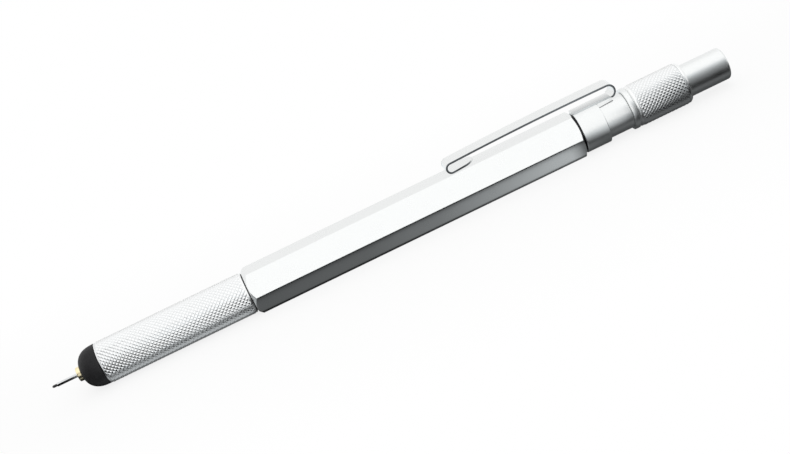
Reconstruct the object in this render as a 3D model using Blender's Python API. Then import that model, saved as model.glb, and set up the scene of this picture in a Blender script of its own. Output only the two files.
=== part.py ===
# Mechanical pencil with a rubber stylus tip and a twist-retract lead cartridge.
# It lies on one flat of its hexagonal barrel, with the axis along X, the tip to -X and the clip on top.
# Stations along the axis (names ending in _at) count from the barrel's front face towards the button.

from math import acos, cos, hypot, pi, radians, sin

import bmesh
import bpy

MM = 0.001

# Fits
FIT_GAP = 0.04 * MM  # radial gap of pressed and glued pieces
SLIDE_GAP = 0.09 * MM  # radial gap of pieces that slide or turn
SEAT_GAP = 0.05 * MM  # axial gap between faces that meet
EDGE = 0.15 * MM  # broken edge on turned pieces

# Barrel
HEX_FLATS = 8.2 * MM
HEX_LENGTH = 67.45 * MM
HEX_CHAMFER = 0.9 * MM
HEX_REAR_CHAMFER = 0.4 * MM
HEX_FACE_DROP = 0.1 * MM

# Grip and the ring behind it
GRIP_DIAMETER = 8.06 * MM
GRIP_LENGTH = 29.35 * MM
GRIP_CHAMFER = 0.35 * MM
GRIP_SPIGOT = 6.0 * MM
SPACER_WIDTH = 0.4 * MM
SPACER_WALL = 0.6 * MM

# Rubber dome and the bush that carries it
DOME_DIAMETER = 7.9 * MM
DOME_LENGTH = 4.05 * MM
DOME_FULLNESS = 2.55  # exponent of the dome's superellipse, 2 is an ellipse
DOME_SKIN = 1.5 * MM  # rubber in front of the bush
DOME_HOLE_GAP = 0.12 * MM
BUSH_WALL = 1.0 * MM
BUSH_FLANGE = 2.5 * MM
BUSH_LEDGE = 0.4 * MM

# Nose, sleeve and lead
NOSE_DIAMETER = 2.74 * MM
NOSE_REACH = 0.8 * MM
NOSE_WALL = 0.4 * MM
NOSE_SHOULDER = 1.2 * MM
SLEEVE_REACH = 4.15 * MM
SLEEVE_ROOT = 3.0 * MM
SLEEVE_WALL = 0.08 * MM
LEAD_DIAMETER = 0.5 * MM
LEAD_REACH = 0.95 * MM
LEAD_LENGTH = 60.0 * MM
LEAD_GAP = 0.03 * MM
LEAD_POINT = 0.15 * MM  # radius left at the worn point
LEAD_WORN = 0.25 * MM
RETAINER_LENGTH = 2.0 * MM

# Chuck and clutch ring
CHUCK_HEAD_DIAMETER = 2.1 * MM
CHUCK_SHANK_DIAMETER = 1.5 * MM
CHUCK_BORE = 0.8 * MM
CHUCK_TAPER = 1.9 * MM
JAW_LENGTH = 0.8 * MM
JAW_ROOM = 0.4 * MM  # left in front of the jaws at full press
SLIT_WIDTH = 0.2 * MM
SLIT_LENGTH = 6.0 * MM
SHANK_ROOT = 3.0 * MM
CLUTCH_WALL = 0.3 * MM
CLUTCH_LENGTH = 1.6 * MM
CLUTCH_TRAVEL = 0.8 * MM
CLUTCH_SET = 0.1 * MM  # ring's place behind the jaws' straight part

# Cartridge tube and springs
CARTRIDGE_WALL = 0.4 * MM
CARTRIDGE_THREAD = 1.6 * MM
CARTRIDGE_WEB = 1.0 * MM
COLLAR_WIDTH = 1.0 * MM
COLLAR_SPAN = 10.0 * MM
RETRACT_SPRING_LENGTH = 14.0 * MM
RETRACT_SPRING_WIRE = 0.32 * MM
RETRACT_SPRING_TURNS = 8
CHUCK_SPRING_LENGTH = 7.0 * MM
CHUCK_SPRING_WIRE = 0.24 * MM
CHUCK_SPRING_TURNS = 7
CLOSE_PITCH = 1.2  # pitch of a spring's end turns, in wire thicknesses

# Lead tank, follower, cam and guide
TANK_DIAMETER = 2.9 * MM
TANK_WALL = 0.4 * MM
TANK_END_ROOM = 1.5 * MM
FOLLOWER_WALL = 0.47 * MM
FOLLOWER_LENGTH = 3.0 * MM
PIN_DIAMETER = 1.0 * MM
CAM_WALL = 0.42 * MM
GUIDE_WALL = 0.47 * MM
SLOT_LAND = 2.0 * MM  # metal in front of a slot
SLOT_COVER = 6.0 * MM  # barrel behind the guide's slot
TWIST = radians(180)
RETRACT_DEPTH = 0.6 * MM  # lead's place inside the dome when retracted
PRESS = 2.2 * MM

# Clip sleeve: band and neck
BAND_WALL = 1.03 * MM
BAND_LENGTH = 5.2 * MM
BAND_GROOVE = 0.35 * MM
BAND_LIP = 0.5 * MM
NECK_WALL = 0.48 * MM
NECK_LENGTH = 5.0 * MM

# Clip
CLIP_LENGTH = 35.4 * MM
CLIP_WIDTH = 3.8 * MM
CLIP_LEG_WIDTH = 2.6 * MM  # the part that lies in the band's channel
CLIP_LEG_SET = 0.07 * MM  # middle of the leg's sheet over the band
CLIP_THICKNESS = 0.4 * MM
CLIP_BEND_RADIUS = 1.31 * MM
CLIP_FOLD_RADIUS = 0.92 * MM
CLIP_ARCH = 0.22 * MM  # rise of the arm over its straight line
CLIP_SHOULDER_STEPS = 1  # steps up the rear bend before the strip has its full width
CLIP_TONGUE = 4.4 * MM
CLIP_TONGUE_RISE = 0.33 * MM
CLIP_TONGUE_POINT = 0.25 * MM  # half width left at the tongue's round end
CLIP_MARGIN = 0.3 * MM

# Knob, its rings and the push button
THRUST_WIDTH = 1.0 * MM
THRUST_WALL = 1.0 * MM
KNOB_WALL = 0.98 * MM
KNOB_LENGTH = 11.0 * MM
KNOB_CHAMFER = 0.4 * MM
KNOB_BEARING = 4.6 * MM
KNOB_FLOOR_GAP = 0.3 * MM
KEY_FLAT = 0.2 * MM
RING_WIDTH = 0.5 * MM
RING_DEPTH = 0.2 * MM
RING_HEIGHT = 0.25 * MM  # how far the split ring stands out of its groove
RING_SETBACK = 1.2 * MM
RING_MOUTH = radians(30)
CAP_WALL = 0.65 * MM
CAP_END = 1.0 * MM
CAP_ROUND = 0.5 * MM
CAP_ENTRY = 0.3 * MM
CAP_REACH = 8.5 * MM
PRESS_ROOM = 0.3 * MM
ERASER_REACH = 3.0 * MM
ERASER_ROOM = 0.5 * MM
FERRULE_WALL = 0.25 * MM
FERRULE_DEPTH = 6.0 * MM
FERRULE_LIP = 0.4 * MM

# Facets
BARREL_SIDES = 48
SHOWN_SIDES = 40
INNER_SIDES = 24
THIN_SIDES = 16
ARC_STEPS = 10
DOME_STEPS = 10
COIL_STEPS = 12
HELIX_STEPS = 20
SHARP_ANGLE = radians(28)
WELD = 1e-7
CUT_OVERRUN = 1.0 * MM  # how far a cutter passes the faces it opens

# Radii, from the lead outwards
lead_r = LEAD_DIAMETER / 2
pipe_bore_r = lead_r + LEAD_GAP
pipe_r = pipe_bore_r + SLEEVE_WALL
nose_r = NOSE_DIAMETER / 2
pocket_r = nose_r - NOSE_WALL
head_r = CHUCK_HEAD_DIAMETER / 2
shank_r = CHUCK_SHANK_DIAMETER / 2
clutch_r = head_r + CLUTCH_WALL
clutch_room_r = clutch_r + SLIDE_GAP
tank_r = TANK_DIAMETER / 2
tank_room_r = tank_r + SLIDE_GAP
cartridge_r = max(clutch_room_r, tank_room_r) + CARTRIDGE_WALL
retract_coil_r = cartridge_r + SLIDE_GAP + RETRACT_SPRING_WIRE / 2
grip_bore_r = retract_coil_r + RETRACT_SPRING_WIRE / 2 + SLIDE_GAP
chuck_coil_r = shank_r + SLIDE_GAP + CHUCK_SPRING_WIRE / 2
follower_r = tank_r + FIT_GAP + FOLLOWER_WALL
cam_bore_r = follower_r + SLIDE_GAP
cam_r = cam_bore_r + CAM_WALL
cam_flat = cam_r - KEY_FLAT
guide_bore_r = cam_r + SLIDE_GAP
guide_r = guide_bore_r + GUIDE_WALL
barrel_bore_r = guide_r + FIT_GAP
knob_bore_r = guide_r + SLIDE_GAP
band_r = barrel_bore_r + BAND_WALL
neck_r = barrel_bore_r + NECK_WALL
knob_r = knob_bore_r + KNOB_WALL
cap_bore_r = cam_r + FIT_GAP
cap_r = cap_bore_r + CAP_WALL
bush_r = nose_r + SLIDE_GAP + BUSH_WALL
flange_r = grip_bore_r + BUSH_LEDGE
pin_r = PIN_DIAMETER / 2
pin_room_r = pin_r + SLIDE_GAP

# Stations in front of the barrel
grip_end_at = -2 * SEAT_GAP - SPACER_WIDTH
grip_at = grip_end_at - GRIP_LENGTH
dome_base_at = grip_at - SEAT_GAP
dome_at = dome_base_at - DOME_LENGTH
bush_at = dome_at + DOME_SKIN
bush_end_at = grip_at + BUSH_FLANGE
nose_at = dome_at - NOSE_REACH
sleeve_at = nose_at - SLEEVE_REACH
lead_at = sleeve_at - LEAD_REACH
pocket_at = nose_at + SLEEVE_ROOT
shoulder_at = bush_end_at + SEAT_GAP
jaw_room_at = shoulder_at + NOSE_SHOULDER
chuck_at = jaw_room_at + PRESS + JAW_ROOM
clutch_at = chuck_at + JAW_LENGTH + CLUTCH_SET
clutch_room_at = clutch_at - CLUTCH_TRAVEL - SEAT_GAP
tube_at = clutch_at + CLUTCH_LENGTH + SEAT_GAP
nose_end_at = tube_at + CARTRIDGE_THREAD
web_end_at = nose_end_at + CARTRIDGE_WEB
tank_at = web_end_at + CHUCK_SPRING_LENGTH
shank_end_at = tank_at + SHANK_ROOT
collar_at = bush_end_at + RETRACT_SPRING_LENGTH
tube_end_at = collar_at + COLLAR_SPAN

# Stations behind the barrel
band_at = HEX_LENGTH + SEAT_GAP
neck_at = band_at + BAND_LENGTH
neck_end_at = neck_at + NECK_LENGTH
thrust_at = neck_end_at + SEAT_GAP
knob_at = thrust_at + THRUST_WIDTH + SEAT_GAP
knob_end_at = knob_at + KNOB_LENGTH
guide_end_at = knob_at + KNOB_BEARING
ring_at = guide_end_at - RING_SETBACK - RING_WIDTH
key_at = guide_end_at + KNOB_FLOOR_GAP
cap_at = knob_end_at - CAP_ENTRY
key_end_at = cap_at - PRESS - PRESS_ROOM
cap_end_at = knob_end_at + CAP_REACH
plunger_end_at = cap_end_at - CAP_END - ERASER_ROOM - ERASER_REACH
ferrule_at = plunger_end_at - FERRULE_DEPTH

# Travel of the cartridge, and the follower's place in the slots
retract_travel = NOSE_REACH + SLEEVE_REACH + LEAD_REACH + RETRACT_DEPTH
slot_end_at = HEX_LENGTH - SLOT_COVER
pin_at = slot_end_at - pin_room_r - retract_travel
slot_at = pin_at - PRESS - pin_room_r
guide_at = slot_at - SLOT_LAND
cam_at = pin_at - pin_room_r - SLOT_LAND
tank_end_at = ferrule_at - retract_travel - TANK_END_ROOM

# The clip's bends, in its side view: stations and heights over the axis
bend_at = neck_end_at - CLIP_MARGIN - CLIP_THICKNESS / 2 - CLIP_BEND_RADIUS
leg_height = band_r + CLIP_LEG_SET
bend_height = leg_height + CLIP_BEND_RADIUS
arm_height = bend_height + CLIP_BEND_RADIUS
fold_at = bend_at + CLIP_BEND_RADIUS - CLIP_LENGTH + CLIP_THICKNESS + CLIP_FOLD_RADIUS
fold_height = HEX_FLATS / 2 + SEAT_GAP + CLIP_THICKNESS / 2 + CLIP_FOLD_RADIUS
hinge_at = bend_at - SEAT_GAP / 2

# Looks: colour, metallic, roughness
SATIN_METAL = ((0.77, 0.78, 0.79), 1.0, 0.28)
BRIGHT_STEEL = ((0.70, 0.71, 0.72), 1.0, 0.18)
BRASS = ((0.83, 0.60, 0.24), 1.0, 0.22)
RUBBER = ((0.020, 0.020, 0.021), 0.0, 0.62)
WHITE_RUBBER = ((0.84, 0.83, 0.80), 0.0, 0.75)
DARK_PLASTIC = ((0.045, 0.045, 0.048), 0.0, 0.45)
PALE_PLASTIC = ((0.72, 0.73, 0.74), 0.0, 0.40)
GRAPHITE = ((0.035, 0.035, 0.038), 0.35, 0.40)


def clear_scene():
    for old in list(bpy.data.objects):
        bpy.data.objects.remove(old, do_unlink=True)


def frame(name, parent=None, at=(0.0, 0.0, 0.0)):
    empty = bpy.data.objects.new(name, None)
    bpy.context.scene.collection.objects.link(empty)
    empty.parent = parent
    empty.location = at
    return empty


def finish(data, name, look):
    colour, metallic, roughness = look
    material = bpy.data.materials.new(name)
    material.use_nodes = True
    shader = material.node_tree.nodes["Principled BSDF"]
    shader.inputs["Base Color"].default_value = (*colour, 1.0)
    shader.inputs["Metallic"].default_value = metallic
    shader.inputs["Roughness"].default_value = roughness
    material.diffuse_color = (*colour, 1.0)
    data.materials.append(material)


def add_object(name, data, parent, look):
    item = bpy.data.objects.new(name, data)
    bpy.context.scene.collection.objects.link(item)
    item.parent = parent
    if look:
        finish(data, name, look)
    return item


def add_mesh(name, bm, parent, look):
    bmesh.ops.recalc_face_normals(bm, faces=bm.faces)
    mesh = bpy.data.meshes.new(name)
    bm.to_mesh(mesh)
    bm.free()
    mesh.shade_smooth()
    mesh.set_sharp_from_angle(angle=SHARP_ANGLE)
    return add_object(name, mesh, parent, look)


def turned(name, parent, look, outline, sides=INNER_SIDES, turn=2 * pi):
    # Turns an outline of (station, radius) points about the axis; one that starts on the axis ends on it.
    bm = bmesh.new()
    points = [bm.verts.new((station, 0.0, radius)) for station, radius in outline]
    ends = list(zip(points, points[1:]))
    if outline[0][1] > 0.0:
        ends.append((points[-1], points[0]))
    lines = [bm.edges.new(pair) for pair in ends]
    whole = turn >= 2 * pi
    bmesh.ops.spin(bm, geom=points + lines, axis=(1, 0, 0), angle=turn, steps=sides, use_merge=whole)
    bmesh.ops.remove_doubles(bm, verts=bm.verts, dist=WELD)
    if not whole:
        bmesh.ops.holes_fill(bm, edges=bm.edges)
    return add_mesh(name, bm, parent, look)


def tube(name, parent, look, start, end, bore, radius, sides=INNER_SIDES):
    outline = [(start, bore), (start, radius), (end, radius), (end, bore)]
    return turned(name, parent, look, outline, sides)


def loft(name, parent, look, sections):
    # Joins equal rings of points, in order, and closes the first and the last.
    bm = bmesh.new()
    rings = [[bm.verts.new(point) for point in section] for section in sections]
    count = len(rings[0])
    for ring, following in zip(rings, rings[1:]):
        for i in range(count):
            j = (i + 1) % count
            bm.faces.new((ring[i], ring[j], following[j], following[i]))
    bm.faces.new(rings[0])
    bm.faces.new(rings[-1])
    return add_mesh(name, bm, parent, look)


def prism(name, parent, look, outline, start, end):
    # An outline of (y, z) points, drawn out along the axis.
    return loft(name, parent, look, [[(at, y, z) for y, z in outline] for at in (start, end)])


def cut(item, cutter, operation="DIFFERENCE"):
    cutter.hide_render = True
    cutter.display_type = "WIRE"
    change = item.modifiers.new(cutter.name, "BOOLEAN")
    change.operation = operation
    change.solver = "EXACT"
    change.object = cutter


def rectangle(low_y, high_y, low_z, high_z):
    return [(low_y, low_z), (high_y, low_z), (high_y, high_z), (low_y, high_z)]


def arc(centre, radius, start, end):
    angles = [start + (end - start) * i / ARC_STEPS for i in range(ARC_STEPS + 1)]
    return [(centre[0] + radius * cos(a), centre[1] + radius * sin(a)) for a in angles]


def ribbon(name, parent, look, path, half_widths):
    # A strip of sheet along a side-view path of (station, height) points, with a half width at each.
    sections = []
    for i, (at, height) in enumerate(path):
        before = path[max(i - 1, 0)]
        after = path[min(i + 1, len(path) - 1)]
        along = (after[0] - before[0], after[1] - before[1])
        size = hypot(*along)
        lift = (-along[1] / size * CLIP_THICKNESS / 2, along[0] / size * CLIP_THICKNESS / 2)
        low = (at - lift[0], height - lift[1])
        high = (at + lift[0], height + lift[1])
        corners = rectangle(-half_widths[i], half_widths[i], 0, 1)
        sections.append([((low, high)[k][0], y, (low, high)[k][1]) for y, k in corners])
    return loft(name, parent, look, sections)


def coil(name, parent, look, start, end, radius, wire, turns):
    # A compression spring along the axis, with one close turn at each end.
    close_pitch = wire * CLOSE_PITCH
    open_pitch = (end - start - wire - 2 * close_pitch) / (turns - 2)
    count = turns * COIL_STEPS + 1
    curve = bpy.data.curves.new(name, "CURVE")
    curve.dimensions = "3D"
    curve.bevel_depth = wire / 2
    curve.bevel_resolution = 1
    curve.use_fill_caps = True
    line = curve.splines.new("POLY")
    line.points.add(count - 1)
    for i, point in enumerate(line.points):
        turn = i / COIL_STEPS
        opened = min(max(turn - 1, 0), turns - 2)
        at = start + wire / 2 + open_pitch * opened + close_pitch * (turn - opened)
        point.co = (at, radius * cos(2 * pi * turn), radius * sin(2 * pi * turn), 1.0)
    return add_object(name, curve, parent, look)


def make_barrel(body):
    corner_r = HEX_FLATS / 2 / cos(pi / 6)
    face_r = HEX_FLATS / 2 - HEX_FACE_DROP
    outline = [
        (0.0, barrel_bore_r),
        (0.0, face_r),
        (HEX_CHAMFER, corner_r + HEX_FACE_DROP),
        (HEX_LENGTH - HEX_REAR_CHAMFER, corner_r + HEX_FACE_DROP),
        (HEX_LENGTH, face_r),
        (HEX_LENGTH, barrel_bore_r),
    ]
    barrel = turned("hex_barrel", body, SATIN_METAL, outline, BARREL_SIDES)
    corners = [(corner_r * cos(i * pi / 3), corner_r * sin(i * pi / 3)) for i in range(6)]
    flats = prism("hex_flats", body, None, corners, -CUT_OVERRUN, HEX_LENGTH + CUT_OVERRUN)
    cut(barrel, flats, "INTERSECT")


def make_grip(body):
    grip_r = GRIP_DIAMETER / 2
    spigot_r = barrel_bore_r - FIT_GAP
    seat_r = flange_r + FIT_GAP
    outline = [
        (grip_at, seat_r),
        (grip_at, grip_r - GRIP_CHAMFER),
        (grip_at + GRIP_CHAMFER, grip_r),
        (grip_end_at - GRIP_CHAMFER, grip_r),
        (grip_end_at, grip_r - GRIP_CHAMFER),
        (grip_end_at, spigot_r),
        (GRIP_SPIGOT, spigot_r),
        (GRIP_SPIGOT, grip_bore_r),
        (bush_end_at + SEAT_GAP, grip_bore_r),
        (bush_end_at + SEAT_GAP, seat_r),
    ]
    turned("knurled_grip", body, SATIN_METAL, outline, SHOWN_SIDES)
    spacer_at = grip_end_at + SEAT_GAP
    spacer_bore_r = spigot_r + FIT_GAP
    spacer_r = spacer_bore_r + SPACER_WALL
    tube("spacer_ring", body, DARK_PLASTIC, spacer_at, spacer_at + SPACER_WIDTH, spacer_bore_r, spacer_r)


def make_stylus(body):
    dome_r = DOME_DIAMETER / 2
    hole_r = nose_r + DOME_HOLE_GAP
    last = acos((hole_r / dome_r) ** (DOME_FULLNESS / 2))
    power = 2 / DOME_FULLNESS
    outline = []
    for i in range(DOME_STEPS + 1):
        a = last * i / DOME_STEPS
        reach = sin(a) ** power / sin(last) ** power
        outline.append((dome_base_at - DOME_LENGTH * reach, dome_r * cos(a) ** power))
    outline += [
        (bush_at - SEAT_GAP, hole_r),
        (bush_at - SEAT_GAP, bush_r + FIT_GAP),
        (dome_base_at, bush_r + FIT_GAP),
    ]
    turned("stylus_tip", body, RUBBER, outline, SHOWN_SIDES)
    guide_hole_r = nose_r + SLIDE_GAP
    bush = [
        (bush_at, guide_hole_r),
        (bush_at, bush_r),
        (grip_at, bush_r),
        (grip_at, flange_r),
        (bush_end_at, flange_r),
        (bush_end_at, guide_hole_r),
    ]
    turned("nose_bush", body, DARK_PLASTIC, bush)


def make_nose(body):
    seat_r = pipe_r + LEAD_GAP
    jaw_room_r = head_r + SLIDE_GAP
    outline = [
        (nose_at, seat_r),
        (nose_at, nose_r - EDGE),
        (nose_at + EDGE, nose_r),
        (shoulder_at, nose_r),
        (shoulder_at, cartridge_r - EDGE),
        (shoulder_at + EDGE, cartridge_r),
        (nose_end_at, cartridge_r),
        (nose_end_at, clutch_room_r),
        (clutch_room_at, clutch_room_r),
        (clutch_room_at, jaw_room_r),
        (jaw_room_at, jaw_room_r),
        (jaw_room_at, pocket_r),
        (pocket_at, pocket_r),
        (pocket_at, seat_r),
    ]
    turned("nose_cone", body, BRASS, outline)
    tube("lead_sleeve", body, BRIGHT_STEEL, sleeve_at, pocket_at - SEAT_GAP, pipe_bore_r, pipe_r, THIN_SIDES)
    washer_at = pocket_at + SEAT_GAP
    washer_r = pocket_r - FIT_GAP
    washer_end_at = washer_at + RETAINER_LENGTH
    tube("lead_retainer", body, RUBBER, washer_at, washer_end_at, pipe_bore_r, washer_r, THIN_SIDES)


def make_cartridge(body):
    spigot_r = clutch_room_r - FIT_GAP
    web_bore_r = shank_r + SLIDE_GAP
    guide_collar_r = grip_bore_r - SLIDE_GAP
    outline = [
        (tube_at, web_bore_r),
        (tube_at, spigot_r),
        (nose_end_at + SEAT_GAP, spigot_r),
        (nose_end_at + SEAT_GAP, cartridge_r),
    ]
    for at in (collar_at, tube_end_at - COLLAR_WIDTH):
        outline += [(at, cartridge_r), (at, guide_collar_r)]
        outline += [(at + COLLAR_WIDTH, guide_collar_r), (at + COLLAR_WIDTH, cartridge_r)]
    outline[-1] = (tube_end_at, tank_room_r)
    outline += [(web_end_at, tank_room_r), (web_end_at, web_bore_r)]
    turned("cartridge_tube", body, BRASS, outline)
    coil("chuck_spring", body, BRIGHT_STEEL, web_end_at + SEAT_GAP, tank_at - SEAT_GAP,
         chuck_coil_r, CHUCK_SPRING_WIRE, CHUCK_SPRING_TURNS)


def chuck_radius(at):
    # Outer radius of the chuck behind its jaws, where the clutch ring sits.
    slope = (head_r - shank_r) / CHUCK_TAPER
    return max(head_r - slope * (at - chuck_at - JAW_LENGTH), shank_r)


def make_chuck(body, clutch_body):
    jaw_end_at = chuck_at + JAW_LENGTH + CHUCK_TAPER
    bore_r = CHUCK_BORE / 2
    outline = [
        (chuck_at, pipe_bore_r),
        (chuck_at, head_r - EDGE),
        (chuck_at + EDGE, head_r),
        (chuck_at + JAW_LENGTH, head_r),
        (jaw_end_at, shank_r),
        (shank_end_at, shank_r),
        (shank_end_at, bore_r),
        (jaw_end_at, bore_r),
        (jaw_end_at, pipe_bore_r),
    ]
    chuck = turned("chuck", body, BRASS, outline)
    star = []
    half = SLIT_WIDTH / 2
    reach = head_r + CUT_OVERRUN
    for i in range(3):
        a = pi / 2 + i * 2 * pi / 3
        for side in (-half, half):
            star.append((reach * cos(a) - side * sin(a), reach * sin(a) + side * cos(a)))
        inner = a + pi / 3
        star.append((half / sin(pi / 3) * cos(inner), half / sin(pi / 3) * sin(inner)))
    slits = prism("chuck_slits", body, None, star, chuck_at - CUT_OVERRUN, chuck_at + SLIT_LENGTH)
    cut(chuck, slits)
    clutch_end_at = clutch_at + CLUTCH_LENGTH
    ring = [
        (clutch_at, chuck_radius(clutch_at) + FIT_GAP),
        (clutch_at, clutch_r),
        (clutch_end_at, clutch_r),
        (clutch_end_at, chuck_radius(clutch_end_at) + FIT_GAP),
    ]
    turned("clutch_ring", clutch_body, BRASS, ring)


def make_tank(body):
    bore_r = tank_r - TANK_WALL
    outline = [
        (tank_at, shank_r + FIT_GAP),
        (tank_at, tank_r),
        (tank_end_at, tank_r),
        (tank_end_at, bore_r),
        (shank_end_at, bore_r),
        (shank_end_at, shank_r + FIT_GAP),
    ]
    turned("lead_tank", body, PALE_PLASTIC, outline)
    start = pin_at - FOLLOWER_LENGTH / 2
    end = pin_at + FOLLOWER_LENGTH / 2
    collar = tube("follower_collar", body, BRASS, start, end, tank_r + FIT_GAP, follower_r)
    hole_end = follower_r + CUT_OVERRUN
    cut(collar, radial_pin("follower_hole", body, None, tank_r - CUT_OVERRUN, hole_end, pin_r + FIT_GAP))
    radial_pin("follower_pin", body, BRIGHT_STEEL, tank_r + 2 * FIT_GAP, guide_r - SLIDE_GAP, pin_r)


def radial_pin(name, parent, look, inner, outer, radius):
    # A round pin at the follower's station, standing down from the axis.
    outline = [(inner, 0.0), (inner, radius), (outer, radius), (outer, 0.0)]
    pin = turned(name, parent, look, outline, THIN_SIDES)
    pin.rotation_euler = (0.0, pi / 2, 0.0)
    pin.location = (pin_at, 0.0, 0.0)
    return pin


def make_cam(body):
    outline = [(cam_at, cam_bore_r), (cam_at, cam_r), (plunger_end_at, cam_r), (plunger_end_at, cam_bore_r)]
    cam = turned("cam_tube", body, DARK_PLASTIC, outline)
    mean_r = (cam_bore_r + cam_r) / 2
    length = hypot(retract_travel, mean_r * TWIST)
    lean_at = retract_travel / length
    lean_turn = mean_r * TWIST / length
    overrun = pin_room_r / length
    inside = cam_bore_r - CUT_OVERRUN
    outside = cam_r + CUT_OVERRUN
    sections = []
    for i in range(HELIX_STEPS + 1):
        t = -overrun + (1 + 2 * overrun) * i / HELIX_STEPS
        section = []
        for side, reach in ((-1, inside), (1, inside), (1, outside), (-1, outside)):
            turn = -pi / 2 + TWIST * t + side * pin_room_r * lean_at / mean_r
            at = pin_at + retract_travel * t - side * pin_room_r * lean_turn
            section.append((at, reach * cos(turn), reach * sin(turn)))
        sections.append(section)
    cut(cam, loft("cam_slot", body, None, sections))
    for name, low, high in (("key_flat_upper", cam_flat, outside), ("key_flat_lower", -outside, -cam_flat)):
        waste = rectangle(-outside, outside, low, high)
        cut(cam, prism(name, body, None, waste, key_at - SEAT_GAP, plunger_end_at + CUT_OVERRUN))
    ferrule_r = cam_bore_r - FIT_GAP
    eraser_room_r = ferrule_r - FERRULE_WALL
    lip_at = plunger_end_at + SEAT_GAP
    cup = [
        (ferrule_at, 0.0),
        (ferrule_at, ferrule_r),
        (lip_at, ferrule_r),
        (lip_at, cam_flat),
        (lip_at + FERRULE_LIP, cam_flat),
        (lip_at + FERRULE_LIP, eraser_room_r),
        (ferrule_at + FERRULE_LIP, eraser_room_r),
        (ferrule_at + FERRULE_LIP, 0.0),
    ]
    turned("eraser_ferrule", body, BRIGHT_STEEL, cup)
    eraser_r = eraser_room_r - FIT_GAP
    eraser_end_at = plunger_end_at + ERASER_REACH
    stick = [
        (ferrule_at + FERRULE_LIP + SEAT_GAP, 0.0),
        (ferrule_at + FERRULE_LIP + SEAT_GAP, eraser_r),
        (eraser_end_at - EDGE, eraser_r),
        (eraser_end_at, eraser_r - EDGE),
        (eraser_end_at, 0.0),
    ]
    turned("eraser", body, WHITE_RUBBER, stick)


def make_guide(body):
    groove_r = guide_r - RING_DEPTH
    outline = [
        (guide_at, guide_bore_r),
        (guide_at, guide_r),
        (ring_at - SEAT_GAP, guide_r),
        (ring_at - SEAT_GAP, groove_r),
        (ring_at + RING_WIDTH + SEAT_GAP, groove_r),
        (ring_at + RING_WIDTH + SEAT_GAP, guide_r),
        (guide_end_at, guide_r),
        (guide_end_at, guide_bore_r),
    ]
    guide = turned("guide_sleeve", body, BRIGHT_STEEL, outline)
    opening = rectangle(-pin_room_r, pin_room_r, -guide_r - CUT_OVERRUN, -tank_r)
    cut(guide, prism("guide_slot", body, None, opening, slot_at, slot_end_at))
    ring = [
        (ring_at, groove_r + FIT_GAP),
        (ring_at, guide_r + RING_HEIGHT),
        (ring_at + RING_WIDTH, guide_r + RING_HEIGHT),
        (ring_at + RING_WIDTH, groove_r + FIT_GAP),
    ]
    split = turned("retaining_ring", body, BRIGHT_STEEL, ring, INNER_SIDES, 2 * pi - RING_MOUTH)
    split.rotation_euler = (RING_MOUTH / 2, 0.0, 0.0)


def make_clip_sleeve(body):
    bore_r = guide_r + FIT_GAP
    lip_r = bore_r + BAND_LIP
    rim_at = band_at + BAND_GROOVE
    outline = [
        (band_at, bore_r),
        (band_at, lip_r),
        (rim_at, lip_r),
        (rim_at, band_r - EDGE),
        (rim_at + EDGE, band_r),
        (neck_at - EDGE, band_r),
        (neck_at, band_r - EDGE),
        (neck_at, neck_r),
        (neck_end_at, neck_r),
        (neck_end_at, bore_r),
    ]
    sleeve = turned("clip_sleeve", body, SATIN_METAL, outline, SHOWN_SIDES)
    half = CLIP_LEG_WIDTH / 2 + FIT_GAP
    floor = leg_height - CLIP_THICKNESS / 2 - FIT_GAP
    channel = rectangle(-half, half, floor, band_r + CUT_OVERRUN)
    cut(sleeve, prism("clip_channel", body, None, channel, band_at - CUT_OVERRUN, bend_at + CLIP_BEND_RADIUS))
    thrust_r = bore_r + THRUST_WALL
    tube("thrust_ring", body, SATIN_METAL, thrust_at, thrust_at + THRUST_WIDTH, bore_r, thrust_r, SHOWN_SIDES)


def make_clip(body, hinge):
    half = CLIP_WIDTH / 2
    leg_at = band_at + BAND_GROOVE
    bend = arc((bend_at, bend_height), CLIP_BEND_RADIUS, -pi / 2, pi / 2)
    narrow = [CLIP_LEG_WIDTH / 2] * (1 + CLIP_SHOULDER_STEPS)
    wide = [half] * (len(bend) - CLIP_SHOULDER_STEPS)
    ribbon("clip_root", body, SATIN_METAL, [(leg_at, leg_height)] + bend, narrow + wide)
    arm = []
    front_height = fold_height + CLIP_FOLD_RADIUS
    for i in range(ARC_STEPS):
        t = i / ARC_STEPS
        height = arm_height * (1 - t) + front_height * t + 4 * CLIP_ARCH * t * (1 - t)
        arm.append(((bend_at - SEAT_GAP) * (1 - t) + fold_at * t, height))
    arm += arc((fold_at, fold_height), CLIP_FOLD_RADIUS, pi / 2, 3 * pi / 2)
    widths = [half] * len(arm)
    low = fold_height - CLIP_FOLD_RADIUS
    round_at = CLIP_TONGUE - half
    for i in range(ARC_STEPS // 2 + 1):
        a = i * pi / ARC_STEPS
        along = round_at + half * sin(a)
        arm.append((fold_at + along, low + CLIP_TONGUE_RISE * along / CLIP_TONGUE))
        widths.append(max(half * cos(a), CLIP_TONGUE_POINT))
    moved = [(at - hinge_at, height - arm_height) for at, height in arm]
    ribbon("clip_arm", hinge, SATIN_METAL, moved, widths)


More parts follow.
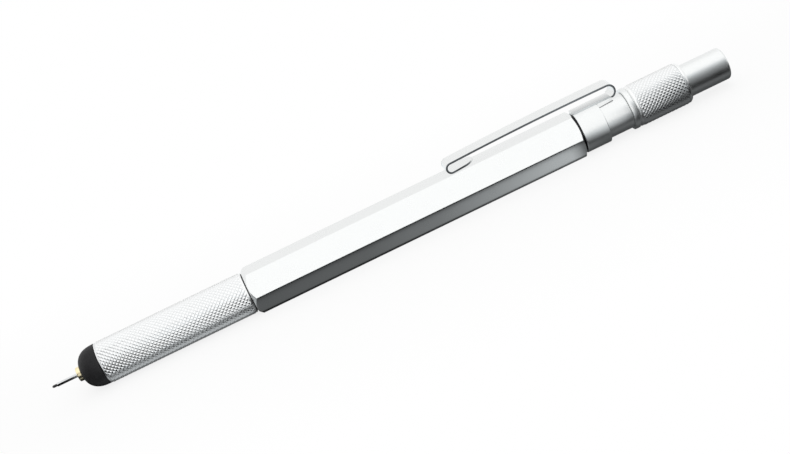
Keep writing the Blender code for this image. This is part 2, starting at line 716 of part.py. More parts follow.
def make_knob(body):
    groove_r = guide_r + RING_HEIGHT + SLIDE_GAP
    groove_at = ring_at - 2 * SEAT_GAP
    groove_end_at = ring_at + RING_WIDTH + 2 * SEAT_GAP
    cap_room_r = cap_r + SLIDE_GAP
    outline = [
        (knob_at, knob_bore_r),
        (knob_at, knob_r - KNOB_CHAMFER),
        (knob_at + KNOB_CHAMFER, knob_r),
        (knob_end_at - KNOB_CHAMFER, knob_r),
        (knob_end_at, knob_r - KNOB_CHAMFER),
        (knob_end_at, cap_room_r),
        (key_end_at, cap_room_r),
        (key_end_at, cam_bore_r),
        (key_at, cam_bore_r),
        (key_at, knob_bore_r),
        (groove_end_at, knob_bore_r),
        (groove_end_at, groove_r),
        (groove_at, groove_r),
        (groove_at, knob_bore_r),
    ]
    knob = turned("twist_knob", body, SATIN_METAL, outline, SHOWN_SIDES)
    reach = cam_r + SLIDE_GAP
    flat = cam_flat + SLIDE_GAP
    angles = [2 * pi * i / SHOWN_SIDES for i in range(SHOWN_SIDES)]
    key = [(reach * cos(a), min(max(reach * sin(a), -flat), flat)) for a in angles]
    cut(knob, prism("knob_key", body, None, key, key_at - KNOB_FLOOR_GAP / 2, key_end_at + PRESS_ROOM))


def make_cap(body):
    floor_at = cap_end_at - CAP_END
    outline = [(floor_at, 0.0), (floor_at, cap_bore_r), (cap_at, cap_bore_r), (cap_at, cap_r - EDGE)]
    outline += [(cap_at + EDGE, cap_r)]
    for i in range(ARC_STEPS // 2 + 1):
        a = i * pi / ARC_STEPS
        outline.append((cap_end_at - CAP_ROUND + CAP_ROUND * sin(a), cap_r - CAP_ROUND + CAP_ROUND * cos(a)))
    outline.append((cap_end_at, 0.0))
    turned("push_button", body, SATIN_METAL, outline, SHOWN_SIDES)


def make_lead(body):
    outline = [
        (lead_at, 0.0),
        (lead_at, LEAD_POINT),
        (lead_at + LEAD_WORN, lead_r),
        (lead_at + LEAD_LENGTH, lead_r),
        (lead_at + LEAD_LENGTH, 0.0),
    ]
    turned("lead", body, GRAPHITE, outline, THIN_SIDES)


def make_pencil():
    clear_scene()
    middle = (lead_at + cap_end_at) / 2
    barrel = frame("barrel_axis", None, (-middle, 0.0, HEX_FLATS / 2))
    knob = frame("knob_axis", barrel)
    plunger = frame("plunger_axis", knob)
    cap = frame("cap_axis", plunger)
    cartridge = frame("cartridge_axis", barrel)
    feed = frame("feed_axis", cartridge)
    clutch = frame("clutch_axis", cartridge)
    lead = frame("lead_axis", cartridge)
    hinge = frame("clip_hinge", barrel, (hinge_at, 0.0, arm_height))
    make_barrel(barrel)
    make_grip(barrel)
    make_stylus(barrel)
    make_guide(barrel)
    make_clip_sleeve(barrel)
    make_clip(barrel, hinge)
    coil("retract_spring", barrel, BRIGHT_STEEL, bush_end_at + SEAT_GAP, collar_at - SEAT_GAP,
         retract_coil_r, RETRACT_SPRING_WIRE, RETRACT_SPRING_TURNS)
    make_knob(knob)
    make_cam(plunger)
    make_cap(cap)
    make_nose(cartridge)
    make_cartridge(cartridge)
    make_chuck(feed, clutch)
    make_tank(feed)
    make_lead(lead)


make_pencil()
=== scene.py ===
from math import acos, cos, pi, radians, sin

import bmesh
import bpy
from mathutils import Matrix, Quaternion, Vector


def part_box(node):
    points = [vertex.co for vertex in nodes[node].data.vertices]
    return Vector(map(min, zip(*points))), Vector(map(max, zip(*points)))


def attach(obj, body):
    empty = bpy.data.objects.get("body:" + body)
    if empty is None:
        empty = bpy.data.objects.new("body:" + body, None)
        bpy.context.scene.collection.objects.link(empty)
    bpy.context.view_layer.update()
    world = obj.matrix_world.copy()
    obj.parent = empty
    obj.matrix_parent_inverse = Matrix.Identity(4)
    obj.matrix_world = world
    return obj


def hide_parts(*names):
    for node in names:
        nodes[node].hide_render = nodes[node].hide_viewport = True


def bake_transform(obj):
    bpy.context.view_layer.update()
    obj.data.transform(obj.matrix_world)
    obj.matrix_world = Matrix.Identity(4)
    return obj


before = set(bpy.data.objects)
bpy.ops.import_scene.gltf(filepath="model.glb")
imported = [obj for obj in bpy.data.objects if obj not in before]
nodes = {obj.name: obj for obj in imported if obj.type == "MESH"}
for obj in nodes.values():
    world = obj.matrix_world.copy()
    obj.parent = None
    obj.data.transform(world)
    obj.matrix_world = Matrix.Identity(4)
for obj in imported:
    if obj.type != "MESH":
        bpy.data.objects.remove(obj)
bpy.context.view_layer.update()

mm = 0.001
weld = 0.0005 * mm  # points this close become one
fitGap = 0.04 * mm  # pressed pieces
slideGap = 0.09 * mm  # pieces that slide or turn
seatGap = 0.05 * mm  # faces that meet
leadGap = 0.03 * mm  # round the lead and its pipe
axisZ = sum(corner.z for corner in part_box("hex_barrel")) / 2  # height of the pencil's axis

# camera, with its angles in degrees
cameraSet = {
    "target": (0.056 * mm, 0.0, 3.12 * mm),
    "distance": 278.8 * mm,
    "azimuth": -3.364,
    "elevation": 20.793,
    "roll": -24.635,
    "lens": 68.55,
}


def makeCamera():
    azimuth = radians(cameraSet["azimuth"])
    elevation = radians(cameraSet["elevation"])
    level = cos(elevation)
    back = Vector((sin(azimuth) * level, -cos(azimuth) * level, sin(elevation)))
    camera = bpy.data.objects.new("camera", bpy.data.cameras.new("camera"))
    camera.data.lens = cameraSet["lens"]
    camera.location = Vector(cameraSet["target"]) + back * cameraSet["distance"]
    camera.rotation_mode = "QUATERNION"
    aim = (-back).to_track_quat("-Z", "Y")
    camera.rotation_quaternion = aim @ Quaternion((0, 0, 1), radians(cameraSet["roll"]))
    bpy.context.scene.collection.objects.link(camera)
    bpy.context.scene.camera = camera


def addNode(tree, kind, sockets=None, **settings):
    made = tree.nodes.new("ShaderNode" + kind)
    for key, value in settings.items():
        setattr(made, key, value)
    for key, value in (sockets or {}).items():
        made.inputs[key].default_value = value
    return made


def addRamp(tree, source, stops):
    ramp = addNode(tree, "ValToRGB")
    elements = ramp.color_ramp.elements
    while len(elements) < len(stops):
        elements.new(0.5)  # put in its place below
    for element, (place, colour) in zip(elements, stops):
        element.position = place
        element.color = (*colour, 1.0)
    tree.links.new(source, ramp.inputs["Fac"])
    return ramp.outputs["Color"]


def addRange(tree, source, fromEnds, toEnds=(0.0, 1.0)):
    ends = dict(enumerate((*fromEnds, *toEnds), start=1))  # sockets 1 to 4
    span = addNode(tree, "MapRange", ends)
    tree.links.new(source, span.inputs["Value"])
    return span.outputs["Result"]


def addMath(tree, operation, first, second=None):
    made = addNode(tree, "Math", operation=operation)
    for socket, value in zip(made.inputs, (first, second)):
        if isinstance(value, (int, float)):
            socket.default_value = value
        elif value is not None:
            tree.links.new(value, socket)
    return made.outputs["Value"]


def objectPlace(tree):
    place = addNode(tree, "TexCoord")
    parts = addNode(tree, "SeparateXYZ")
    tree.links.new(place.outputs["Object"], parts.inputs["Vector"])
    return parts.outputs


def seenDirectly(tree):
    # 1 for the camera and for what metal or glass shows, 0 for light that falls on things
    path = addNode(tree, "LightPath")
    total = addMath(tree, "ADD", path.outputs["Is Camera Ray"], path.outputs["Is Glossy Ray"])
    total = addMath(tree, "ADD", total, path.outputs["Is Transmission Ray"])
    return addMath(tree, "MINIMUM", total, 1.0)


stageSet = {
    "fill": 0.84,  # world on matt surfaces
    "overhead": 1.18,  # how bright the metal sees the world over its front
    "overheadLean": (0.0, -0.55, 0.83),  # towards the middle of that part
    "overheadEdge": (0.2, 0.6),  # where that part starts and where it is full
    "keyAt": (60 * mm, -560 * mm, 480 * mm),
    "keySize": (800 * mm, 420 * mm),
    "keyRadiance": 1.12,
    "floorSize": 8.0,
    "floorColour": 0.95,
    "floorRough": 0.9,
    "shadowReach": (14 * mm, 60 * mm),  # where the floor turns from lit to plain white
    "shadowVeil": 0.82,  # white over the shadow
    "cardSize": 260 * mm,
    "cardLift": 0.02 * mm,  # the card's height over the floor
}


def makeWorld():
    world = bpy.data.worlds.new("studio")
    world.use_nodes = True
    bpy.context.scene.world = world
    tree = world.node_tree
    sky = tree.nodes["Background"]
    sky.inputs["Color"].default_value = (1.0, 1.0, 1.0, 1.0)
    place = addNode(tree, "TexCoord")
    lean = addNode(tree, "VectorMath", {1: stageSet["overheadLean"]}, operation="DOT_PRODUCT")
    tree.links.new(place.outputs["Generated"], lean.inputs[0])  # in a world this is the direction
    seen = addRange(tree, lean.outputs["Value"], stageSet["overheadEdge"], (1.0, stageSet["overhead"]))
    strength = addNode(tree, "Mix", {"A": stageSet["fill"]})
    tree.links.new(seenDirectly(tree), strength.inputs["Factor"])
    tree.links.new(seen, strength.inputs["B"])
    tree.links.new(strength.outputs["Result"], sky.inputs["Strength"])


def makeKey():
    lamp = bpy.data.lights.new("softbox", "AREA")
    lamp.shape = "RECTANGLE"
    lamp.size, lamp.size_y = stageSet["keySize"]
    lamp.energy = stageSet["keyRadiance"] * pi * lamp.size * lamp.size_y
    softbox = bpy.data.objects.new("softbox", lamp)
    softbox.location = stageSet["keyAt"]
    softbox.rotation_euler = (-softbox.location).to_track_quat("-Z", "Y").to_euler()
    softbox.visible_glossy = False
    bpy.context.scene.collection.objects.link(softbox)


def stagePlane(name, sizeX, sizeY, middle, material, upright=False):
    bm = bmesh.new()
    bmesh.ops.create_grid(bm, x_segments=1, y_segments=1, size=0.5)
    bmesh.ops.scale(bm, vec=(sizeX, sizeY, 1.0), verts=bm.verts)
    if upright:
        bmesh.ops.rotate(bm, verts=bm.verts, cent=(0, 0, 0), matrix=Matrix.Rotation(pi / 2, 3, "X"))
    bmesh.ops.translate(bm, vec=middle, verts=bm.verts)
    mesh = bpy.data.meshes.new(name)
    bm.to_mesh(mesh)
    bm.free()
    mesh.materials.append(material)
    plane = bpy.data.objects.new(name, mesh)
    bpy.context.scene.collection.objects.link(plane)
    return plane


def makeFloor():
    material = bpy.data.materials.new("paleFloor")
    material.use_nodes = True
    tree = material.node_tree
    matt = tree.nodes["Principled BSDF"]
    grey = stageSet["floorColour"]
    matt.inputs["Base Color"].default_value = (grey, grey, grey, 1.0)
    matt.inputs["Roughness"].default_value = stageSet["floorRough"]
    matt.inputs["Specular IOR Level"].default_value = 0.0
    white = addNode(tree, "Emission", {"Strength": 1.0})
    mix = addNode(tree, "MixShader")
    aside = addMath(tree, "ABSOLUTE", objectPlace(tree)["Y"])
    away = addRange(tree, aside, stageSet["shadowReach"], (stageSet["shadowVeil"], 1.0))
    share = addMath(tree, "MULTIPLY", seenDirectly(tree), away)
    tree.links.new(share, mix.inputs["Fac"])
    tree.links.new(matt.outputs["BSDF"], mix.inputs[1])
    tree.links.new(white.outputs["Emission"], mix.inputs[2])
    tree.links.new(mix.outputs["Shader"], tree.nodes["Material Output"].inputs["Surface"])
    size = stageSet["floorSize"]
    stagePlane("floor", size, size, (0, 0, -stageSet["cardLift"]), material)


# the dark card's shades, placed in mm: along the pencil, or forwards from its axis
cardSet = {
    "span": (-70.0, 70.0),
    "tint": (0.97, 1.01, 1.03),
    "under": [
        (-70, 0.01), (-60, 0.03), (-58, 0.15), (-31, 0.15), (-29, 0.012), (0, 0.02), (35, 0.09), (40, 0.07),
    ],
    "underEdge": (2.72, 2.84),  # forwards, where under turns into near
    "near": [
        (-70, 0.01), (-66.6, 0.01), (-65.6, 0.25), (-62, 0.25), (-58, 0.52), (-31, 0.52), (-29, 0.107),
        (-23, 0.113), (-7, 0.132), (8, 0.2), (21, 0.335), (29, 0.44), (32.5, 0.485), (35.6, 0.5),
        (37, 0.36), (38.2, 0.14), (43.5, 0.085), (44.4, 0.12), (49, 0.12),
    ],
    "nearEdge": (5.04, 5.29),  # forwards, where near turns into front
    "front": [(5.2, 0.012), (6.2, 0.05), (6.8, 0.13), (8.8, 0.25), (12.5, 0.42), (21, 0.63), (60, 0.9)],
    "late": [  # how far out the front stays dark, along
        (-70, 30), (-61, 30), (-58, 5), (-31, 4), (-29, 20), (20, 18), (36.5, 16), (39, 0), (48.5, 0),
        (50.5, 3), (54, 8), (70, 12),
    ],
    "lift": [  # times the front's shade, along
        (-70, 1), (-60, 1), (-58, 2.6), (-31, 2.6), (-29, 1), (43, 1), (44.5, 1.3), (48.5, 1.3),
        (50, 0.9), (70, 0.8),
    ],
    "backEdge": (3.0, 4.0),  # backwards
    "back": [(4, 0.3), (7, 0.5), (12, 0.9), (20, 1.0)],
}
untinted = (1, 1, 1)


def cardRamp(tree, source, stops, span=None, tint=cardSet["tint"]):
    low, high = span or (stops[0][0], stops[-1][0])
    place = addRange(tree, source, (low, high))
    shades = [((x - low) / (high - low), [value * share for share in tint]) for x, value in stops]
    return addRamp(tree, place, shades)


def cardMix(tree, source, edge, below, above):
    made = addNode(tree, "Mix", data_type="RGBA")
    tree.links.new(addRange(tree, source, edge), made.inputs["Factor"])
    tree.links.new(below, made.inputs["A"])
    tree.links.new(above, made.inputs["B"])
    return made.outputs["Result"]


def startCard(name):
    material = bpy.data.materials.new(name)
    material.use_nodes = True
    tree = material.node_tree
    tree.nodes.remove(tree.nodes["Principled BSDF"])
    glow = addNode(tree, "Emission", {"Strength": 1.0})
    tree.links.new(glow.outputs["Emission"], tree.nodes["Material Output"].inputs["Surface"])
    return material, tree, glow.inputs["Color"]


def onlyReflected(card):
    card.visible_camera = False
    card.visible_diffuse = False
    card.visible_transmission = False
    card.visible_shadow = False


def makeDarkCard():
    # a shaded card under the pencil, which only the metal sees
    material, tree, shade = startCard("darkCard")
    parts = objectPlace(tree)
    along = addMath(tree, "MULTIPLY", parts["X"], 1 / mm)
    forward = addMath(tree, "MULTIPLY", parts["Y"], -1 / mm)
    behind = addMath(tree, "MULTIPLY", forward, -1.0)
    span = cardSet["span"]
    under = cardRamp(tree, along, cardSet["under"], span)
    near = cardRamp(tree, along, cardSet["near"], span)
    lengths = [length for x, length in cardSet["late"]]
    least, most = min(lengths), max(lengths)
    stops = [(x, (length - least) / (most - least)) for x, length in cardSet["late"]]
    late = addRange(tree, cardRamp(tree, along, stops, span, untinted), (0.0, 1.0), (least, most))
    front = addNode(tree, "VectorMath", operation="SCALE")
    reach = addMath(tree, "SUBTRACT", forward, late)
    tree.links.new(cardRamp(tree, reach, cardSet["front"]), front.inputs["Vector"])
    tree.links.new(cardRamp(tree, along, cardSet["lift"], span, untinted), front.inputs["Scale"])
    back = cardRamp(tree, behind, cardSet["back"])
    colour = cardMix(tree, forward, cardSet["nearEdge"], near, front.outputs["Vector"])
    colour = cardMix(tree, forward, cardSet["underEdge"], under, colour)
    colour = cardMix(tree, behind, cardSet["backEdge"], colour, back)
    tree.links.new(colour, shade)
    size = stageSet["cardSize"]
    onlyReflected(stagePlane("darkCard", size, size, (0, 0, 0), material))


# two upright flags in front of the pipe and the knob: place and size in mm, and shade by height
flagSet = {
    "pipeFlag": {
        "span": (-90.0, -66.4),
        "forward": 14.0,
        "shades": [(0, 0.0), (18, 0.0)],
    },
    "knobFlag": {
        "span": (51.0, 95.0),
        "forward": 14.0,
        "shades": [(0, 0.1), (4, 0.16), (6, 0.24), (9, 0.36), (13, 0.66), (18, 0.95)],
    },
}


def makeFlags():
    for name, flag in flagSet.items():
        material, tree, shade = startCard(name)
        up = addMath(tree, "MULTIPLY", objectPlace(tree)["Z"], 1 / mm)
        tree.links.new(cardRamp(tree, up, flag["shades"]), shade)
        height = flag["shades"][-1][0]
        left, right = flag["span"]
        middle = ((left + right) / 2 * mm, -flag["forward"] * mm, height / 2 * mm)
        onlyReflected(stagePlane(name, (right - left) * mm, height * mm, middle, material, upright=True))


makeCamera()
makeWorld()
makeKey()
makeFloor()
makeDarkCard()
makeFlags()
bpy.context.scene.view_settings.view_transform = "Standard"
print("camera and stage ready")


# noise that the finishes share
noiseSet = {
    "spread": (0.3, 0.7),  # where most of its values lie
    "grainDetail": 3.0,
    "mottleDetail": 2.0,
    "grainRough": 0.6,
    "latheDetail": 2.0,
}


def newGroup(name, inputs, outputs):
    group = bpy.data.node_groups.new(name, "ShaderNodeTree")
    for label, kind in inputs:
        group.interface.new_socket(label, in_out="INPUT", socket_type="NodeSocket" + kind)
    for label, kind in outputs:
        group.interface.new_socket(label, in_out="OUTPUT", socket_type="NodeSocket" + kind)
    return group, group.nodes.new("NodeGroupInput"), group.nodes.new("NodeGroupOutput")


def makeGrainGroup():
    # fine grain, with a slower mottle under it
    inputs = [("Vector", "Vector"), ("Grain Scale", "Float"), ("Mottle Scale", "Float")]
    group, enter, leave = newGroup("fineGrain", inputs, [("Grain", "Float"), ("Mottle", "Float")])
    for label, detail in (("Grain", noiseSet["grainDetail"]), ("Mottle", noiseSet["mottleDetail"])):
        noise = addNode(group, "TexNoise", {"Detail": detail, "Roughness": noiseSet["grainRough"]})
        group.links.new(enter.outputs["Vector"], noise.inputs["Vector"])
        group.links.new(enter.outputs[label + " Scale"], noise.inputs["Scale"])
        group.links.new(addRange(group, noise.outputs["Fac"], noiseSet["spread"]), leave.inputs[label])
    return group


def makeLatheGroup():
    # fine rings left by turning: along the axis on a wall, outwards on an end face
    inputs = [("Vector", "Vector"), ("Density", "Float")]
    group, enter, leave = newGroup("latheRings", inputs, [("Rings", "Float")])
    parts = addNode(group, "SeparateXYZ")
    group.links.new(enter.outputs["Vector"], parts.inputs["Vector"])
    across = addMath(group, "POWER", parts.outputs["Y"], 2.0)
    up = addMath(group, "POWER", parts.outputs["Z"], 2.0)
    radius = addMath(group, "SQRT", addMath(group, "ADD", across, up))
    reach = addMath(group, "ADD", parts.outputs["X"], radius)
    fixed = {"Scale": 1.0, "Detail": noiseSet["latheDetail"]}
    noise = addNode(group, "TexNoise", fixed, noise_dimensions="1D")
    group.links.new(addMath(group, "MULTIPLY", reach, enter.outputs["Density"]), noise.inputs["W"])
    group.links.new(addRange(group, noise.outputs["Fac"], noiseSet["spread"]), leave.inputs["Rings"])
    return group


grainGroup = makeGrainGroup()
latheGroup = makeLatheGroup()


def startFinish(name, metallic):
    material = bpy.data.materials.new(name)
    material.use_nodes = True
    tree = material.node_tree
    shader = tree.nodes["Principled BSDF"]
    shader.inputs["Metallic"].default_value = metallic
    place = addNode(tree, "TexCoord")
    centre = addNode(tree, "Mapping", {"Location": (0.0, 0.0, -axisZ)})  # rings run round the pencil's axis
    tree.links.new(place.outputs["Object"], centre.inputs["Vector"])
    return material, tree, shader, centre.outputs["Vector"]


def placeGroup(tree, group, vector, values):
    made = addNode(tree, "Group", values, node_tree=group)
    tree.links.new(vector, made.inputs["Vector"])
    return made.outputs


def addBump(tree, shader, height, depth):
    bump = addNode(tree, "Bump", {"Strength": 1.0, "Distance": depth})
    tree.links.new(height, bump.inputs["Height"])
    tree.links.new(bump.outputs["Normal"], shader.inputs["Normal"])


satinSet = {
    "dark": (0.80, 0.815, 0.815),
    "light": (0.86, 0.87, 0.865),
    # painted light: the knurled pieces get a lighter copy of the same satin metal
    "knurlPaintedLightLow": (0.87, 0.88, 0.88),
    "knurlPaintedLightHigh": (0.93, 0.935, 0.93),
    "grain": 9000.0,
    "mottle": 420.0,
    "grainOnLathe": 0.4,  # height of the grain against the turned rings
    "depth": 0.0006 * mm,
}


def satinMetal(name, rough, paintedShade=None, lathe=0.0, shades=("dark", "light")):
    material, tree, shader, vector = startFinish(name, 1.0)
    scales = {"Grain Scale": satinSet["grain"], "Mottle Scale": satinSet["mottle"]}
    marks = placeGroup(tree, grainGroup, vector, scales)
    height = marks["Grain"]
    if lathe:
        rings = placeGroup(tree, latheGroup, vector, {"Density": lathe})["Rings"]
        height = addMath(tree, "ADD", rings, addMath(tree, "MULTIPLY", height, satinSet["grainOnLathe"]))
    low, high = (satinSet[shade] for shade in shades)
    colour = addRamp(tree, marks["Grain"], [(0.0, low), (1.0, high)])
    # painted shade: a darker colour mixed in where the piece's paintedShade attribute marks it
    if paintedShade:
        mask = addNode(tree, "Attribute", attribute_name="paintedShade")
        shade = addNode(tree, "Mix", {"B": (*paintedShade, 1.0)}, data_type="RGBA")
        tree.links.new(colour, shade.inputs["A"])
        tree.links.new(mask.outputs["Fac"], shade.inputs["Factor"])
        colour = shade.outputs["Result"]
    tree.links.new(colour, shader.inputs["Base Color"])
    tree.links.new(addRange(tree, marks["Mottle"], (0.0, 1.0), rough), shader.inputs["Roughness"])
    addBump(tree, shader, height, satinSet["depth"])
    return material


plainSet = {"grain": 6000.0, "mottle": 480.0, "depth": 0.002 * mm, "gloss": 0.5}


def plainFinish(name, low, high, rough, metallic=0.0, lathe=0.0,
                gloss=plainSet["gloss"], depth=plainSet["depth"]):
    material, tree, shader, vector = startFinish(name, metallic)
    shader.inputs["Specular IOR Level"].default_value = gloss
    scales = {"Grain Scale": plainSet["grain"], "Mottle Scale": plainSet["mottle"]}
    marks = placeGroup(tree, grainGroup, vector, scales)
    height = marks["Grain"]
    if lathe:
        height = placeGroup(tree, latheGroup, vector, {"Density": lathe})["Rings"]
    colour = addRamp(tree, marks["Mottle"], [(0.0, low), (1.0, high)])
    tree.links.new(colour, shader.inputs["Base Color"])
    tree.links.new(addRange(tree, marks["Grain"], (0.0, 1.0), rough), shader.inputs["Roughness"])
    addBump(tree, shader, height, depth)
    return material


# each finish: its shades, the ends of its roughness, its painted shade colour, and how close its turned
# rings are
finishes = {
    "satin": satinMetal("satinMetal", (0.22, 0.28)),
    "stamped": satinMetal("stampedMetal", (0.24, 0.31), paintedShade=(0.2, 0.21, 0.22)),
    "turned": satinMetal("turnedMetal", (0.30, 0.37), lathe=22000.0),
    "collar": satinMetal("collarMetal", (0.30, 0.37), paintedShade=(0.03, 0.03, 0.032), lathe=22000.0),
    "knurled": satinMetal("knurledMetal", (0.26, 0.33), paintedShade=(0.78, 0.79, 0.795),
                          shades=("knurlPaintedLightLow", "knurlPaintedLightHigh")),
    "steel": plainFinish("brightSteel", (0.62, 0.63, 0.64), (0.74, 0.75, 0.76), (0.14, 0.24),
                         metallic=1.0, lathe=16000.0),
    "brass": plainFinish("turnedBrass", (0.92, 0.79, 0.49), (0.96, 0.87, 0.62), (0.16, 0.26),
                         metallic=1.0, lathe=20000.0),
    "rubber": plainFinish("blackRubber", (0.008, 0.008, 0.009), (0.014, 0.014, 0.015), (0.52, 0.66),
                          gloss=0.28, depth=0.006 * mm),
    "eraser": plainFinish("whiteRubber", (0.80, 0.79, 0.76), (0.87, 0.86, 0.83), (0.66, 0.82),
                          depth=0.006 * mm),
    "dark": plainFinish("darkPlastic", (0.035, 0.035, 0.038), (0.055, 0.055, 0.058), (0.36, 0.48)),
    "pale": plainFinish("palePlastic", (0.68, 0.69, 0.70), (0.76, 0.77, 0.78), (0.32, 0.44)),
    "lead": plainFinish("graphite", (0.025, 0.025, 0.027), (0.06, 0.06, 0.063), (0.30, 0.48),
                        metallic=0.35, depth=0.004 * mm),
}
print("finishes ready:", len(finishes))


# what all pieces share
modelling = {
    "roundSteps": 4,
    "turnSteps": 128,
    "sharpAngle": 38,  # in degrees
    "orderAlong": (1.0, 0.618, 0.414),  # a direction in which no two points are level
}


def extent(node):
    # where a turned node starts and ends, and its outer radius
    low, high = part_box(node)
    return low.x, high.x, (high.y - low.y) / 2


def shareOf(value, low, high):
    return max(0.0, min(1.0, (value - low) / (high - low)))


def drawOutline(bm, outline, closed=True):
    # points are (station, radius), with a rounding where the corner isn't sharp
    verts = [bm.verts.new((point[0], 0.0, point[1])) for point in outline]
    pairs = list(zip(verts, verts[1:]))
    if closed:
        pairs.append((verts[-1], verts[0]))
    for pair in pairs:
        bm.edges.new(pair)
    for vert, point in zip(verts, outline):
        if len(point) > 2:
            bmesh.ops.bevel(bm, geom=[vert], offset=point[2], offset_type="OFFSET",
                            segments=modelling["roundSteps"], profile=0.5, affect="VERTICES", material=-1)


def spinOutline(bm, steps):
    wire = [item for item in (*bm.verts, *bm.edges) if item.is_wire]
    bmesh.ops.spin(bm, geom=wire, axis=(1, 0, 0), angle=2 * pi, steps=steps, use_merge=True)
    bmesh.ops.remove_doubles(bm, verts=bm.verts, dist=weld)


def drawBlock(startX, endX, width, foot, top):
    bm = bmesh.new()
    bmesh.ops.create_cube(bm, size=1.0)
    bmesh.ops.scale(bm, vec=(endX - startX, width, top - foot), verts=bm.verts)
    bmesh.ops.translate(bm, vec=((startX + endX) / 2, 0.0, (foot + top) / 2), verts=bm.verts)
    return bm


def settleOrder(bm):
    # spins and cuts leave points and faces in another order each run
    along = Vector(modelling["orderAlong"])
    bm.verts.sort(key=lambda vert: vert.co.dot(along))
    bm.edges.sort(key=lambda edge: (edge.verts[0].co + edge.verts[1].co).dot(along))
    bm.faces.sort(key=lambda face: face.calc_center_median().dot(along))


def addObject(name, bm):
    bmesh.ops.recalc_face_normals(bm, faces=bm.faces)
    settleOrder(bm)
    mesh = bpy.data.meshes.new(name)
    bm.to_mesh(mesh)
    bm.free()
    piece = bpy.data.objects.new(name, mesh)
    bpy.context.scene.collection.objects.link(piece)
    return piece


def applyModifiers(piece):
    graph = bpy.context.evaluated_depsgraph_get()
    made = bpy.data.meshes.new_from_object(piece.evaluated_get(graph))
    piece.modifiers.clear()
    piece.data = made


def cutWith(piece, cutter, operation):
    change = piece.modifiers.new("cut", "BOOLEAN")
    change.operation = operation
    change.object = cutter
    applyModifiers(piece)
    bpy.data.objects.remove(cutter, do_unlink=True)
    bm = bmesh.new()
    bm.from_mesh(piece.data)
    bmesh.ops.remove_doubles(bm, verts=bm.verts, dist=weld)
    settleOrder(bm)
    bm.to_mesh(piece.data)
    bm.free()


def finishPiece(piece, finish, body, stands):
    # pieces are drawn about the axis and then lifted to it
    mesh = piece.data
    mesh.transform(Matrix.Translation((0.0, 0.0, axisZ)))
    mesh.materials.clear()
    mesh.materials.append(finishes[finish])
    mesh.shade_smooth()
    mesh.set_sharp_from_angle(angle=radians(modelling["sharpAngle"]))
    shading = piece.modifiers.new("shading", "WEIGHTED_NORMAL")
    shading.keep_sharp = True
    if body:
        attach(piece, body)
    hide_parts(*stands)
    return piece


# painted shade: how far, from 0 to 1, the finish's painted shade colour covers each point or face
def markPaintedShade(piece, domain, values):
    paintedShade = piece.data.attributes.new("paintedShade", "FLOAT", domain)
    paintedShade.data.foreach_set("value", values)


def turnedPiece(name, outline, finish, body, stands, steps=modelling["turnSteps"], closed=True):
    bm = bmesh.new()
    drawOutline(bm, outline, closed)
    spinOutline(bm, steps)
    return finishPiece(addObject(name, bm), finish, body, [stands])


hexBarrel = {
    "edgeRound": 0.2 * mm,
    "edgeSteps": 6,
    "frontCone": 0.9 * mm,
    "rearCone": 0.4 * mm,
    "faceDrop": 0.1 * mm,  # the turned end faces are this much inside the flats
    "faceRound": 0.05 * mm,
    "steps": 192,
}


def makeHexBarrel():
    start, end, cornerR = extent("hex_barrel")
    boreR = extent("guide_sleeve")[2] + fitGap
    faceR = axisZ - hexBarrel["faceDrop"]
    coneR = cornerR + hexBarrel["faceDrop"]
    cone = hexBarrel["frontCone"]
    bm = bmesh.new()
    bmesh.ops.create_circle(bm, cap_ends=True, radius=cornerR, segments=6)
    bmesh.ops.rotate(bm, verts=bm.verts, cent=(0, 0, 0), matrix=Matrix.Rotation(pi / 2, 3, "Y"))
    bmesh.ops.translate(bm, vec=(start - cone, 0, 0), verts=bm.verts)
    drawn = bmesh.ops.extrude_face_region(bm, geom=bm.faces[:])["geom"]
    moved = [item for item in drawn if isinstance(item, bmesh.types.BMVert)]
    bmesh.ops.translate(bm, vec=(end - start + 2 * cone, 0, 0), verts=moved)
    long = [edge for edge in bm.edges if abs(edge.verts[0].co.x - edge.verts[1].co.x) > cone]
    bmesh.ops.bevel(bm, geom=long, offset=hexBarrel["edgeRound"], offset_type="OFFSET",
                    segments=hexBarrel["edgeSteps"], profile=0.5, affect="EDGES", material=-1)
    barrel = addObject("hexBarrel", bm)
    bm = bmesh.new()
    drawOutline(bm, [
        (start, boreR),
        (start, faceR, hexBarrel["faceRound"]),
        (start + cone, coneR),
        (end - hexBarrel["rearCone"], coneR),
        (end, faceR, hexBarrel["faceRound"]),
        (end, boreR),
    ])
    spinOutline(bm, hexBarrel["steps"])
    cutWith(barrel, addObject("hexEnds", bm), "INTERSECT")
    finishPiece(barrel, "satin", "barrel", ["hex_barrel"])


# diamonds on grip and knob
knurl = {
    "around": 30,
    "pitch": 0.83 * mm,
    "depth": 0.15 * mm,
    "flank": 0.21 * mm,
    "endDepth": 0.08 * mm,  # half diamonds at the ends
    "endFlank": 0.12 * mm,
    "split": 2,
    "rimStep": 0.05 * mm,  # from the band's end up to the plain rim
    "boreShare": 0.9,  # what is nearer the axis than this share of the valleys isn't knurl
}
sheetTiny = 1e-6  # on the sheet, which is 1 wide


